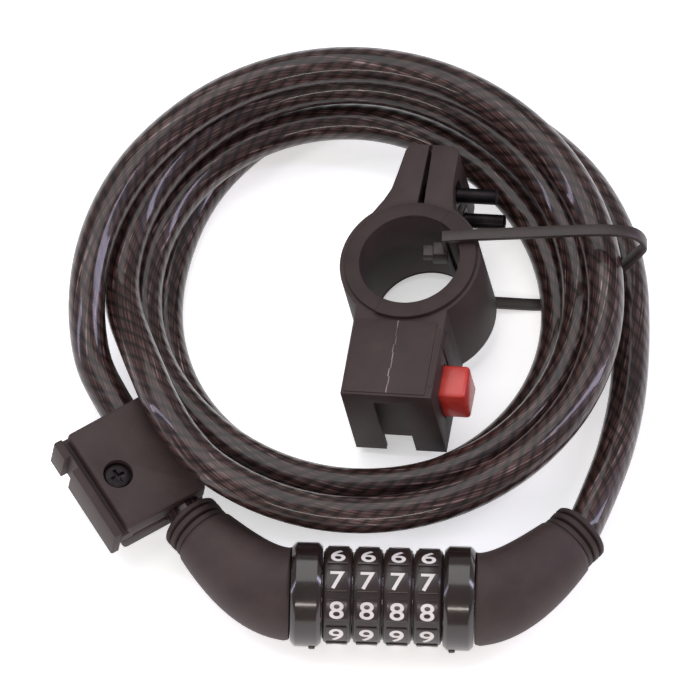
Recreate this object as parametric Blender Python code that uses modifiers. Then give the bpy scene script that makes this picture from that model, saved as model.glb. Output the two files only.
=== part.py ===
"""Cable lock: a coiled steel cable with a four-dial head, its carrier clip and its frame clamp."""

import math

import bmesh
import bpy
from mathutils import Euler, Matrix, Vector

# Metres, +Z up. The lock lies on a table at z = 0, with its dial head in front (-Y).
GAP = 0.0003  # kept between touching solids
RUN = 0.0004  # running clearance of what turns or slides
CUT = 0.002  # how far a cutter runs past what it cuts

CABLE_DIAMETER = 0.012
CABLE_SIDES = 8
CABLE_STEP = 0.024
COIL_BASE_RADIUS = 0.0650  # centre line of the lowest turn
COIL_TOP_RADIUS = 0.0835  # centre line of the highest turn
COIL_HEIGHT = 0.0470

HEAD_YAW = math.radians(-1.85)
DIAL_COUNT = 4
DIAL_DIAMETER = 0.0320
DIAL_WIDTH = 0.0088
DIAL_PITCH = 0.0098
DIAL_DIGITS = 10
DIAL_EDGE = 0.0011
COLLAR_DIAMETER = 0.0340
COLLAR_WIDTH = 0.0100
COLLAR_EDGE = 0.0014
HEAD_CENTRE = Vector((0.0065, -0.1075, COLLAR_DIAMETER / 2))
BARREL_DIAMETER = 0.0200
PIN_DIAMETER = 0.0080
CODE_RING_WALL = 0.0020
CODE_RING_WIDTH = 0.0064
TOOTH_WIDTH = 0.0026
PLUG_TRAVEL = 0.0400

SLEEVE_BIG_DIAMETER = 0.0305
SLEEVE_END_DIAMETER = 0.0212
SLEEVE_CHORD = 0.0353
SLEEVE_START_HEADING = math.radians(22)
SLEEVE_END_HEADING = math.radians(50)
FERRULE_DIAMETER = 0.0150
FERRULE_LENGTH = 0.0120
GLAND_LENGTH = 0.0080
GLAND_WALL = 0.0036

CARRIER_LENGTH = 0.0380
CARRIER_WIDTH = 0.0300
CARRIER_THICKNESS = 0.0180
CARRIER_CABLE_INSET = 0.0085  # cable's axis from the carrier's inner side
RAIL_NECK = 0.0090
RAIL_NECK_DEPTH = 0.0022
RAIL_FLANGE = 0.0150
RAIL_FLANGE_DEPTH = 0.0028
NOTCH_LENGTH = 0.0046
CARRIER_SCREW_HEAD = 0.0080
CARRIER_SCREW_SHANK = 0.0036

CLAMP_CENTRE = Vector((0.0215, 0.0060, 0.0))
CLAMP_YAW = math.radians(-9)
CLAMP_LEAN = math.radians(-9)
CLAMP_WIDTH = 0.0340
CLAMP_BORE = 0.0395
CLAMP_DIAMETER = 0.0462
LINER_BORE = 0.0330
EAR_WIDTH = 0.0190
EAR_HEIGHT = 0.0440  # above the bore's centre
EAR_SLIT = 0.0024
BOLT_DIAMETER = 0.0050
BOLT_SPACING = 0.0158
BOLT_HEIGHT = 0.0310
BOLT_PAST_EAR = 0.0130
BLOCK_WIDTH = 0.0300
BLOCK_BOTTOM = 0.0510  # below the bore's centre
SLOT_WALL = 0.0050
BUTTON_STANDOFF = 0.0085
BUTTON_HEIGHT = 0.0120
BUTTON_WIDTH = 0.0140
BUTTON_TRAVEL = 0.0030

TIE_WIDTH = 0.0048
TIE_THICKNESS = 0.0014
TIE_Y = 0.0110

CLAMP_CENTRE = Vector((0.0205, 0.0045, 0.0053))
CARRIER_HEADING = math.radians(122)
CARRIER_PITCH = math.radians(9)


# ---- scene, collections, materials and frames

def clear_scene():
    for old in list(bpy.data.objects):
        bpy.data.objects.remove(old, do_unlink=True)


def collection(name):
    made = bpy.data.collections.new(name)
    bpy.context.scene.collection.children.link(made)
    return made


def material(name, colour, roughness, metallic=0.0):
    made = bpy.data.materials.new(name)
    made.use_nodes = True
    shader = made.node_tree.nodes["Principled BSDF"]
    shader.inputs["Base Color"].default_value = (*colour, 1.0)
    shader.inputs["Roughness"].default_value = roughness
    shader.inputs["Metallic"].default_value = metallic
    made.diffuse_color = (*colour, 1.0)
    return made


def frame_at(name, place, turn=(0.0, 0.0, 0.0)):
    """An empty that its sub-assembly's pieces hang from."""
    empty = bpy.data.objects.new(name, None)
    empty.location = place
    empty.rotation_euler = turn
    PARTS.objects.link(empty)
    return empty


clear_scene()
PARTS = collection("cable_lock")
CUTTERS = collection("cable_lock_cutters")
GLOSS_BLACK = material("gloss_black_plastic", (0.020, 0.017, 0.017), 0.18)
MATTE_BLACK = material("matte_black_plastic", (0.058, 0.045, 0.045), 0.55)
SOFT_BLACK = material("soft_black_vinyl", (0.045, 0.035, 0.035), 0.62)
CABLE_JACKET = material("smoked_cable_jacket", (0.030, 0.024, 0.026), 0.20)
STEEL = material("zinc_plated_steel", (0.55, 0.55, 0.56), 0.35, 1.0)
BLACK_STEEL = material("black_oxide_steel", (0.030, 0.028, 0.030), 0.45, 0.9)
BRASS = material("brass", (0.60, 0.43, 0.18), 0.35, 1.0)
SPRING_STEEL = material("spring_steel", (0.48, 0.48, 0.50), 0.30, 1.0)
NYLON_BLACK = material("black_nylon", (0.030, 0.025, 0.025), 0.42)
RED_PLASTIC = material("red_plastic", (0.53, 0.045, 0.030), 0.35)

HEAD = frame_at("head_axis", HEAD_CENTRE, (0.0, 0.0, HEAD_YAW))
PLUG = frame_at("plug_axis", (0.0, 0.0, 0.0))
PLUG.parent = HEAD
CARRIER = frame_at("carrier_frame", HEAD_CENTRE, (0.0, -CARRIER_PITCH, CARRIER_HEADING))
CLAMP = frame_at("clamp_frame", CLAMP_CENTRE, (0.0, CLAMP_LEAN, CLAMP_YAW))


# ---- shapes

def add_mesh(name, mesh, finish=None, frame=None):
    """A node where a finish is given, and otherwise a hidden cutter."""
    made = bpy.data.objects.new(name, mesh)
    if frame:
        made.parent = frame
    if finish:
        mesh.materials.append(finish)
        PARTS.objects.link(made)
    else:
        made.hide_render = True
        made.display_type = "WIRE"
        CUTTERS.objects.link(made)
    return made


def mesh_from(name, shape):
    bmesh.ops.recalc_face_normals(shape, faces=shape.faces)
    if shape.calc_volume(signed=True) < 0:
        bmesh.ops.reverse_faces(shape, faces=shape.faces)
    mesh = bpy.data.meshes.new(name)
    shape.to_mesh(mesh)
    shape.free()
    return mesh


def block(name, low, high, finish=None, frame=None, edge=0.0):
    """A box between two corners, with its edges bevelled by edge."""
    low, high = Vector(low), Vector(high)
    shape = bmesh.new()
    bmesh.ops.create_cube(shape, size=1.0)
    bmesh.ops.scale(shape, vec=high - low, verts=shape.verts)
    bmesh.ops.translate(shape, vec=(low + high) / 2, verts=shape.verts)
    if edge:
        bmesh.ops.bevel(
            shape, geom=shape.edges[:], offset=edge, segments=2, profile=0.5,
            affect="EDGES", material=-1,
        )
    return add_mesh(name, mesh_from(name, shape), finish, frame)


def rod(name, start, end, radius, finish=None, frame=None, sides=32):
    """A straight cylinder, or a prism with few sides, between two points."""
    start, end = Vector(start), Vector(end)
    along = end - start
    turn = along.to_track_quat("Z", "Y").to_matrix().to_4x4()
    shape = bmesh.new()
    bmesh.ops.create_cone(
        shape, cap_ends=True, segments=sides, radius1=radius, radius2=radius,
        depth=along.length, matrix=Matrix.Translation((start + end) / 2) @ turn,
    )
    return add_mesh(name, mesh_from(name, shape), finish, frame)


def turned(name, profile, finish=None, frame=None, axis="X", steps=40):
    """A ring turned about the frame's X or Z axis from its closed outline of (along, radius)."""
    area = sum(a[0] * b[1] - b[0] * a[1] for a, b in zip(profile, profile[1:] + profile[:1]))
    outline = profile if area > 0 else profile[::-1]
    if axis == "X":
        corners = [(along, 0.0, radius) for along, radius in outline]
    else:
        corners = [(radius, 0.0, along) for along, radius in outline]
    mesh = bpy.data.meshes.new(name)
    count = len(corners)
    mesh.from_pydata(corners, [(i, (i + 1) % count) for i in range(count)], [])
    made = add_mesh(name, mesh, finish, frame)
    turn = made.modifiers.new("turn", "SCREW")
    turn.axis = axis
    turn.steps = steps
    turn.render_steps = steps
    turn.use_merge_vertices = True
    turn.merge_threshold = 0.00001
    turn.use_normal_calculate = True
    return made


def tube(name, points, radii, finish=None, frame=None, resolution=2, cyclic=False):
    """A round tube along the points, as a mesh. radii is one number, or one for each point."""
    if not isinstance(radii, (list, tuple)):
        radii = [radii] * len(points)
    curve = bpy.data.curves.new(name, "CURVE")
    curve.dimensions = "3D"
    curve.bevel_depth = 1.0
    curve.bevel_resolution = resolution
    curve.use_fill_caps = not cyclic
    spline = curve.splines.new("POLY")
    spline.points.add(len(points) - 1)
    spline.use_cyclic_u = cyclic
    for spot, place, radius in zip(spline.points, points, radii):
        spot.co = (*place, 1.0)
        spot.radius = radius
    guide = bpy.data.objects.new(name + "_guide", curve)
    PARTS.objects.link(guide)
    bpy.context.view_layer.update()
    mesh = bpy.data.meshes.new_from_object(guide.evaluated_get(bpy.context.evaluated_depsgraph_get()))
    bpy.data.objects.remove(guide)
    bpy.data.curves.remove(curve)
    shape = bmesh.new()
    shape.from_mesh(mesh)
    bpy.data.meshes.remove(mesh)
    bmesh.ops.remove_doubles(shape, verts=shape.verts, dist=0.000001)
    return add_mesh(name, mesh_from(name, shape), finish, frame)


def combine(target, other, operation="DIFFERENCE"):
    made = target.modifiers.new(other.name, "BOOLEAN")
    made.operation = operation
    made.solver = "EXACT"
    made.object = other


def cut(target, *cutters):
    for cutter in cutters:
        combine(target, cutter)


def join(target, *others):
    for other in others:
        combine(target, other, "UNION")


def bezier(corners, count):
    """Points along one cubic curve."""
    a, b, c, d = (Vector(corner) for corner in corners)
    points = []
    for i in range(count):
        t = i / (count - 1)
        u = 1 - t
        points.append(a * u**3 + b * 3 * t * u * u + c * 3 * t * t * u + d * t**3)
    return points


def smooth(route, per_span):
    """Points read from a Catmull-Rom curve through the route."""
    route = [Vector(place) for place in route]
    ends = [route[0] * 2 - route[1]] + route + [route[-1] * 2 - route[-2]]
    points = []
    for a, b, c, d in zip(ends, ends[1:], ends[2:], ends[3:]):
        for i in range(per_span):
            t = i / per_span
            points.append(
                (b * 2 + (c - a) * t + (a * 2 - b * 5 + c * 4 - d) * t**2
                 + (b * 3 - a - c * 3 + d) * t**3) / 2
            )
    return points + [route[-1]]


# ---- dial head

DIAL_SPAN = DIAL_PITCH * (DIAL_COUNT - 1) + DIAL_WIDTH
COLLAR_START = DIAL_SPAN / 2 + GAP * 2
COLLAR_END = COLLAR_START + COLLAR_WIDTH
CODE_RING_INNER = BARREL_DIAMETER / 2 + RUN
CODE_RING_OUTER = CODE_RING_INNER + CODE_RING_WALL
BARREL_STUB = 0.0060
BARREL_END = COLLAR_START - GAP
PIN_TAIL = 0.0030
PIN_TIP = -BARREL_END + 0.0030
TOOTH_REACH = BARREL_DIAMETER / 2 - RUN
DETENT_STRIP = 0.0005
DETENT_STRIP_WIDTH = 0.0030
DETENT_STRIP_DEPTH = 0.0011


def dial_places():
    return [DIAL_PITCH * (i - (DIAL_COUNT - 1) / 2) for i in range(DIAL_COUNT)]


def rounded_ring(half, inner, outer, edge):
    """The outline of a ring whose outer edges are chamfered."""
    return [
        (-half, inner), (-half, outer - edge), (-half + edge, outer),
        (half - edge, outer), (half, outer - edge), (half, inner),
    ]


def make_dials():
    for number, place in enumerate(dial_places(), 1):
        spot = frame_at(f"dial_{number}_axis", (place, 0.0, 0.0))
        spot.parent = HEAD
        turned(
            f"dial_{number}",
            rounded_ring(DIAL_WIDTH / 2, CODE_RING_OUTER + GAP, DIAL_DIAMETER / 2, DIAL_EDGE),
            GLOSS_BLACK, spot, steps=DIAL_DIGITS * 4,
        )
        ring = turned(
            f"code_ring_{number}",
            rounded_ring(CODE_RING_WIDTH / 2, CODE_RING_INNER, CODE_RING_OUTER, GAP),
            BRASS, spot,
        )
        gate = (TOOTH_WIDTH + 2 * RUN) / 2
        cut(ring, block(
            f"code_ring_{number}_gate_cutter",
            (-CODE_RING_WIDTH, -gate, -CODE_RING_INNER - CODE_RING_WALL / 2),
            (CODE_RING_WIDTH, gate, -CODE_RING_INNER / 2), frame=spot,
        ))


def make_barrel():
    barrel = rod(
        "barrel", (-COLLAR_START - BARREL_STUB, 0, 0), (BARREL_END, 0, 0),
        BARREL_DIAMETER / 2, STEEL, HEAD, 40,
    )
    slot = TOOTH_WIDTH / 2 + RUN
    strip = DETENT_STRIP_WIDTH / 2
    top = BARREL_DIAMETER / 2 - DETENT_STRIP_DEPTH
    cut(
        barrel,
        rod("barrel_bore_cutter", (PIN_TIP - RUN, 0, 0), (BARREL_END + CUT, 0, 0),
            PIN_DIAMETER / 2 + RUN, frame=HEAD, sides=24),
        block("barrel_slot_cutter", (PIN_TIP, -slot, -BARREL_DIAMETER), (BARREL_END + CUT, slot, 0),
              frame=HEAD),
        block("barrel_groove_cutter", (-DIAL_SPAN / 2 - GAP, -strip - GAP, top),
              (DIAL_SPAN / 2 + GAP, strip + GAP, BARREL_DIAMETER), frame=HEAD),
    )
    block(
        "detent_spring", (-DIAL_SPAN / 2, -strip, top + GAP),
        (DIAL_SPAN / 2, strip, top + GAP + DETENT_STRIP), SPRING_STEEL, HEAD,
    )


def make_locking_pin():
    pin = rod(
        "locking_pin", (PIN_TIP, 0, 0), (COLLAR_END + PIN_TAIL, 0, 0),
        PIN_DIAMETER / 2, STEEL, PLUG, 24,
    )
    for number, place in enumerate(dial_places(), 1):
        start = place - DIAL_PITCH / 2 - TOOTH_WIDTH / 2
        if number == 1:
            start = PIN_TIP + RUN
        join(pin, block(
            f"pin_tooth_{number}", (start, -TOOTH_WIDTH / 2, -TOOTH_REACH),
            (start + TOOTH_WIDTH, TOOTH_WIDTH / 2, -PIN_DIAMETER / 4), frame=PLUG,
        ))


def make_collar(name, side, bore, depth, frame):
    """A collar with a hole of the given radius, cut from its inner face to the given depth."""
    half = COLLAR_WIDTH / 2
    middle = side * (COLLAR_START + half)
    if depth < COLLAR_WIDTH:
        blind = COLLAR_START + depth + GAP
    else:
        blind = COLLAR_END + CUT
    outline = rounded_ring(half, PIN_DIAMETER / 4, COLLAR_DIAMETER / 2, COLLAR_EDGE)
    collar = turned(
        name, [(middle + along, radius) for along, radius in outline], GLOSS_BLACK, frame,
    )
    cut(collar, rod(
        name + "_bore_cutter", (side * (COLLAR_START - CUT), 0, 0), (side * blind, 0, 0), bore,
        frame=frame, sides=40,
    ))


def sleeve_path(side, count):
    """The curved centre line of a sleeve, from its collar to its gland."""
    start = Vector((COLLAR_END + GAP, 0, 0))
    chord_heading = (SLEEVE_START_HEADING + SLEEVE_END_HEADING) / 2
    end = start + SLEEVE_CHORD * Vector((math.cos(chord_heading), math.sin(chord_heading), 0))
    out = Vector((math.cos(SLEEVE_END_HEADING), math.sin(SLEEVE_END_HEADING), 0))
    corners = (start, start + Vector((SLEEVE_CHORD * 0.28, 0, 0)), end - out * SLEEVE_CHORD * 0.34, end)
    return [Vector((side * p.x, p.y, p.z)) for p in bezier(corners, count)]


def sleeve_exit(side):
    """Where a sleeve ends and the direction that its cable leaves in."""
    end = sleeve_path(side, 2)[1]
    out = Vector((side * math.cos(SLEEVE_END_HEADING), math.sin(SLEEVE_END_HEADING), 0))
    return end, out


def ferrule_line(side):
    """The ferrule's axis: its inner and outer ends, on the sleeve's centre line."""
    path = sleeve_path(side, 21)
    middle = path[9]
    along = (path[10] - path[8]).normalized() * FERRULE_LENGTH / 2
    return middle - along, middle + along


def past_ferrule(side):
    """The points of the sleeve's centre line that lie beyond its ferrule."""
    inner, outer = ferrule_line(side)
    along = (outer - inner).normalized()
    return [place for place in sleeve_path(side, 21)[:-1] if (place - outer).dot(along) > 2 * CUT]


def make_sleeve(name, side, frame):
    path = sleeve_path(side, 21)
    big, small = SLEEVE_BIG_DIAMETER / 2, SLEEVE_END_DIAMETER / 2
    radii = [big + (small - big) * (i / 20) ** 1.4 for i in range(21)]
    early = path[0] - Vector((side * CUT, 0, 0))
    sleeve = tube(name, [early] + path[1:], radii, MATTE_BLACK, frame, resolution=6)
    inner, outer = ferrule_line(side)
    along = (outer - inner).normalized()
    end, out = sleeve_exit(side)
    cable = [outer - along * CUT, outer + along * CUT] + past_ferrule(side) + [end, end + out * CUT]
    pocket = FERRULE_DIAMETER / 2 + GAP
    start, reach = path[0].x, SLEEVE_BIG_DIAMETER
    faces = sorted((start, start - side * 2 * CUT))
    cut(
        sleeve,
        block(name + "_face_cutter", (faces[0], -reach, -reach), (faces[1], reach, reach), frame=frame),
        rod(name + "_ferrule_cutter", inner - along * GAP, outer + along * GAP, pocket, frame=frame),
        tube(name + "_cable_cutter", cable, CABLE_DIAMETER / 2 + GAP, frame=frame, resolution=4),
    )
    if side > 0:
        cut(sleeve, rod(
            name + "_pin_cutter", (COLLAR_END - CUT, 0, 0), (COLLAR_END + PIN_TAIL + GAP, 0, 0),
            PIN_DIAMETER / 2 + GAP, frame=frame, sides=24,
        ))
    ferrule = name.replace("sleeve", "ferrule")
    rod(ferrule, inner, outer, FERRULE_DIAMETER / 2, STEEL, frame, 24)


def make_gland(name, side, frame):
    """The soft strain relief at a sleeve's mouth: a rib, a groove and a rounded lip."""
    end, out = sleeve_exit(side)
    hole = CABLE_DIAMETER / 2 + GAP
    rib = SLEEVE_END_DIAMETER / 2 - 0.0006
    groove = hole + GLAND_WALL * 0.45
    length = GLAND_LENGTH
    outline = [
        (GAP, hole), (GAP, rib), (length * 0.30, rib), (length * 0.34, groove),
        (length * 0.46, groove), (length * 0.50, rib - 0.0003), (length * 0.60, rib + 0.0004),
        (length * 0.88, rib + 0.0004), (length, rib - 0.0010), (length, hole),
    ]
    spot = frame_at(name + "_axis", end, (0.0, 0.0, math.atan2(out.y, out.x)))
    spot.parent = frame
    turned(name, outline, SOFT_BLACK, spot, steps=28)


def make_head():
    make_barrel()
    make_dials()
    make_locking_pin()
    make_collar("left_collar", -1, BARREL_DIAMETER / 2 + GAP, BARREL_STUB, HEAD)
    make_collar("right_collar", 1, PIN_DIAMETER / 2 + GAP, COLLAR_WIDTH, PLUG)
    make_sleeve("left_sleeve", -1, HEAD)
    make_sleeve("right_sleeve", 1, PLUG)
    make_gland("left_gland", -1, HEAD)
    make_gland("right_gland", 1, PLUG)


# ---- carrier clip on the cable

CARRIER_EDGE = 0.0012
CARRIER_LEAD = 0.0042  # from the gland's mouth to the carrier
RAIL_STEP = CARRIER_WIDTH - CARRIER_CABLE_INSET
SCREW_PLACE = Vector((-0.0010, RAIL_STEP - 0.0072, 0.0))
SCREW_RECESS = 0.0018
SCREW_HEAD_HEIGHT = 0.0026
NOTCH_PLACE = 0.0078


def to_world(frame, place):
    bpy.context.view_layer.update()
    return frame.matrix_world @ Vector(place)



def place_carrier():
    """Sets the carrier in line with the cable where it leaves the left gland."""
    end, out = sleeve_exit(-1)
    mouth = to_world(HEAD, end + out * GLAND_LENGTH)
    bpy.context.view_layer.update()
    along = CARRIER.matrix_world.to_3x3() @ Vector((1, 0, 0))
    CARRIER.location = mouth + along * (CARRIER_LEAD + CARRIER_LENGTH / 2)
    bpy.context.view_layer.update()


def make_carrier():
    half, thick = CARRIER_LENGTH / 2, CARRIER_THICKNESS / 2
    seam = GAP / 2
    front = block(
        "carrier_front", (-half, -CARRIER_CABLE_INSET, seam), (half, RAIL_STEP, thick),
        MATTE_BLACK, CARRIER, CARRIER_EDGE,
    )
    neck_end = RAIL_STEP + RAIL_NECK_DEPTH
    flange_end = neck_end + RAIL_FLANGE_DEPTH
    join(
        front,
        block("rail_neck", (-half, RAIL_STEP - CARRIER_EDGE * 2, seam),
              (half, neck_end, RAIL_NECK / 2), frame=CARRIER),
        block("rail_flange", (-half, neck_end - GAP, seam - RAIL_FLANGE / 2),
              (half, flange_end, RAIL_FLANGE / 2), frame=CARRIER, edge=0.0006),
    )
    back = block(
        "carrier_back", (-half, -CARRIER_CABLE_INSET, -thick), (half, RAIL_STEP, -seam),
        MATTE_BLACK, CARRIER, CARRIER_EDGE,
    )
    bore = rod(
        "carrier_bore_cutter", (-half - CUT, 0, 0), (half + CUT, 0, 0),
        CABLE_DIAMETER / 2 + GAP, frame=CARRIER,
    )
    notch = block(
        "rail_notch_cutter", (NOTCH_PLACE, neck_end + GAP, -RAIL_FLANGE),
        (NOTCH_PLACE + NOTCH_LENGTH, flange_end + CUT, RAIL_FLANGE), frame=CARRIER,
    )
    x, y, _ = SCREW_PLACE
    head_floor = thick - SCREW_RECESS - SCREW_HEAD_HEIGHT
    tip = -thick + 0.0030
    head = CARRIER_SCREW_HEAD / 2
    shank = CARRIER_SCREW_SHANK / 2
    hole = rod("carrier_screw_hole_cutter", (x, y, tip - GAP), (x, y, thick + CUT), shank + GAP,
               frame=CARRIER, sides=20)
    cut(
        front, bore, hole, notch,
        rod("carrier_recess_cutter", (x, y, head_floor - GAP), (x, y, thick + CUT), head + 0.0009,
            frame=CARRIER),
    )
    cut(back, bore, hole)
    screw = rod("carrier_screw", (x, y, head_floor), (x, y, head_floor + SCREW_HEAD_HEIGHT), head,
                BLACK_STEEL, CARRIER)
    join(screw, rod("carrier_screw_shank", (x, y, tip), (x, y, head_floor + GAP), shank,
                    frame=CARRIER, sides=20))
    arm, bar, deep = head * 0.6, 0.0005, 0.0013
    top = head_floor + SCREW_HEAD_HEIGHT
    cut(
        screw,
        block("screw_cross_a_cutter", (x - arm, y - bar, top - deep), (x + arm, y + bar, top + CUT),
              frame=CARRIER),
        block("screw_cross_b_cutter", (x - bar, y - arm, top - deep), (x + bar, y + arm, top + CUT),
              frame=CARRIER),
    )


# ---- frame clamp

BORE_WALL = CLAMP_BORE / 2
LINER_FLANGE = 0.0014
LINER_FLANGE_DIAMETER = 0.0438
BOLT_HEAD_DIAMETER = 0.0085
BOLT_HEAD_HEIGHT = 0.0050
BOLT_SOCKET = 0.0023
NUT_CORNER = 0.0046
NUT_HEIGHT = 0.0040
EAR_INNER = 0.0053  # how near the slit the nut's pocket reaches
BUTTON_PLACE = Vector((0.0, -0.0380, 0.0170))
BUTTON_INNER = 0.0085
NOSE_INNER = 0.0045
NOSE_OUTER = BUTTON_INNER + 0.0020
NOSE_WIDTH = 0.0040
SPRING_INNER = 0.0018
SPRING_DIAMETER = 0.0044
SPRING_WIRE = 0.0005
SPRING_TURNS = 5
SLOT_CLEARANCE = 0.0004


def make_clamp_body():
    width, ear, side = CLAMP_WIDTH, EAR_WIDTH / 2, BLOCK_WIDTH / 2
    body = rod("clamp_body", (0, 0, 0), (0, 0, width), CLAMP_DIAMETER / 2, MATTE_BLACK, CLAMP, 56)
    join(
        body,
        block("clamp_ears", (-ear, BORE_WALL / 2, 0), (ear, EAR_HEIGHT, width), frame=CLAMP,
              edge=0.0022),
        block("clamp_block", (-side, -BLOCK_BOTTOM, 0), (side, -BORE_WALL / 2, width),
              frame=CLAMP, edge=0.0009),
    )
    slot_back = -CUT
    slot_top = width - SLOT_WALL
    neck, flange = RAIL_NECK / 2 + SLOT_CLEARANCE, RAIL_FLANGE / 2 + SLOT_CLEARANCE
    lip = -BLOCK_BOTTOM + RAIL_NECK_DEPTH - SLOT_CLEARANCE
    floor = lip + RAIL_FLANGE_DEPTH + 2 * SLOT_CLEARANCE
    _, y, z = BUTTON_PLACE
    half, tall = BUTTON_HEIGHT / 2 + RUN, BUTTON_WIDTH / 2 + RUN
    nose = NOSE_WIDTH / 2 + RUN
    cut(
        body,
        rod("clamp_bore_cutter", (0, 0, -CUT), (0, 0, width + CUT), BORE_WALL, frame=CLAMP, sides=56),
        block("clamp_slit_cutter", (-EAR_SLIT / 2, 0, -CUT), (EAR_SLIT / 2, EAR_HEIGHT + CUT, width + CUT),
              frame=CLAMP),
        block("slot_neck_cutter", (-neck, -BLOCK_BOTTOM - CUT, slot_back), (neck, lip + CUT / 4, slot_top),
              frame=CLAMP),
        block("slot_flange_cutter", (-flange, lip, slot_back), (flange, floor, slot_top), frame=CLAMP),
        block("button_pocket_cutter", (BUTTON_INNER - BUTTON_TRAVEL - RUN, y - half, z - tall),
              (side + CUT, y + half, z + tall), frame=CLAMP),
        block("button_nose_cutter", (NOSE_INNER - BUTTON_TRAVEL - RUN, lip, z - nose),
              (NOSE_OUTER + RUN, y, z + nose), frame=CLAMP),
        rod("spring_pocket_cutter", (SPRING_INNER - GAP, y, z), (BUTTON_INNER, y, z),
            SPRING_DIAMETER / 2 + SPRING_WIRE + RUN, frame=CLAMP, sides=20),
    )
    for number, z in enumerate(bolt_places(), 1):
        cut(
            body,
            rod(f"bolt_hole_{number}_cutter", (-ear - CUT, BOLT_HEIGHT, z), (ear + CUT, BOLT_HEIGHT, z),
                BOLT_DIAMETER / 2 + GAP, frame=CLAMP, sides=20),
            rod(f"bolt_head_{number}_cutter", (-ear - CUT, BOLT_HEIGHT, z),
                (-ear + BOLT_HEAD_HEIGHT + GAP, BOLT_HEIGHT, z), BOLT_HEAD_DIAMETER / 2 + GAP,
                frame=CLAMP, sides=24),
            rod(f"nut_{number}_cutter", (EAR_INNER, BOLT_HEIGHT, z), (ear + CUT, BOLT_HEIGHT, z),
                NUT_CORNER + 2 * GAP, frame=CLAMP, sides=6),
        )


def bolt_places():
    middle = CLAMP_WIDTH / 2
    return [middle - BOLT_SPACING / 2, middle + BOLT_SPACING / 2]


def make_clamp_liner():
    out = LINER_FLANGE + GAP
    wall = BORE_WALL - GAP
    flange = LINER_FLANGE_DIAMETER / 2
    width = CLAMP_WIDTH
    liner = turned(
        "clamp_liner",
        [
            (-out, LINER_BORE / 2), (-out, flange), (-GAP, flange), (-GAP, wall),
            (width + GAP, wall), (width + GAP, flange), (width + out, flange),
            (width + out, LINER_BORE / 2),
        ],
        SOFT_BLACK, CLAMP, "Z", 56,
    )
    cut(liner, block(
        "liner_slit_cutter", (-EAR_SLIT / 2, 0, -CUT * 2), (EAR_SLIT / 2, CLAMP_DIAMETER, width + CUT * 2),
        frame=CLAMP,
    ))


def make_clamp_bolts():
    ear, y = EAR_WIDTH / 2, BOLT_HEIGHT
    for number, z in enumerate(bolt_places(), 1):
        neck = -ear + BOLT_HEAD_HEIGHT
        bolt = rod(f"clamp_bolt_{number}", (-ear, y, z), (neck, y, z), BOLT_HEAD_DIAMETER / 2,
                   BLACK_STEEL, CLAMP, 24)
        join(bolt, rod(f"bolt_shank_{number}", (neck - GAP, y, z), (ear + BOLT_PAST_EAR, y, z),
                       BOLT_DIAMETER / 2, frame=CLAMP, sides=20))
        cut(bolt, rod(f"bolt_socket_{number}_cutter", (-ear - CUT, y, z),
                      (-ear + BOLT_HEAD_HEIGHT / 2, y, z), BOLT_SOCKET, frame=CLAMP, sides=6))
        nut = rod(f"clamp_nut_{number}", (EAR_INNER + GAP, y, z), (EAR_INNER + GAP + NUT_HEIGHT, y, z),
                  NUT_CORNER, BLACK_STEEL, CLAMP, 6)
        cut(nut, rod(f"nut_thread_{number}_cutter", (EAR_INNER - CUT, y, z), (ear + CUT, y, z),
                     BOLT_DIAMETER / 2 + GAP, frame=CLAMP, sides=20))


def make_release_button():
    _, y, z = BUTTON_PLACE
    side = BLOCK_WIDTH / 2
    lip = -BLOCK_BOTTOM + RAIL_NECK_DEPTH
    spot = frame_at("button_axis", (side, y, z))
    spot.parent = CLAMP
    half, tall, nose = BUTTON_HEIGHT / 2, BUTTON_WIDTH / 2, NOSE_WIDTH / 2
    inner = BUTTON_INNER - side
    button = block("release_button", (inner, -half, -tall), (BUTTON_STANDOFF, half, tall),
                   RED_PLASTIC, spot, 0.0012)
    join(button, block("button_nose", (NOSE_INNER - side, lip + SLOT_CLEARANCE - y, -nose),
                       (NOSE_OUTER - side, -half / 2, nose), frame=spot))
    length = BUTTON_INNER - GAP - SPRING_INNER - SPRING_WIRE
    radius = SPRING_DIAMETER / 2
    count = SPRING_TURNS * 10 + 1
    points = []
    for i in range(count):
        angle = 2 * math.pi * i / 10
        along = SPRING_INNER + SPRING_WIRE / 2 + length * i / (count - 1)
        points.append(Vector((along, y + radius * math.cos(angle), z + radius * math.sin(angle))))
    tube("button_spring", points, SPRING_WIRE / 2, SPRING_STEEL, CLAMP, resolution=0)


# ---- cable and its tie

COIL_SECTION = CABLE_DIAMETER / 2 + 0.0008
COIL_SECTION_SIDES = 7
COIL_STEPS = 64


def coil_ends():
    """The coil section's lower and upper centres, as (radius, height)."""
    low = Vector((COIL_BASE_RADIUS, COIL_SECTION))
    high = Vector((COIL_TOP_RADIUS, COIL_HEIGHT - COIL_SECTION))
    return low, high


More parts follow.
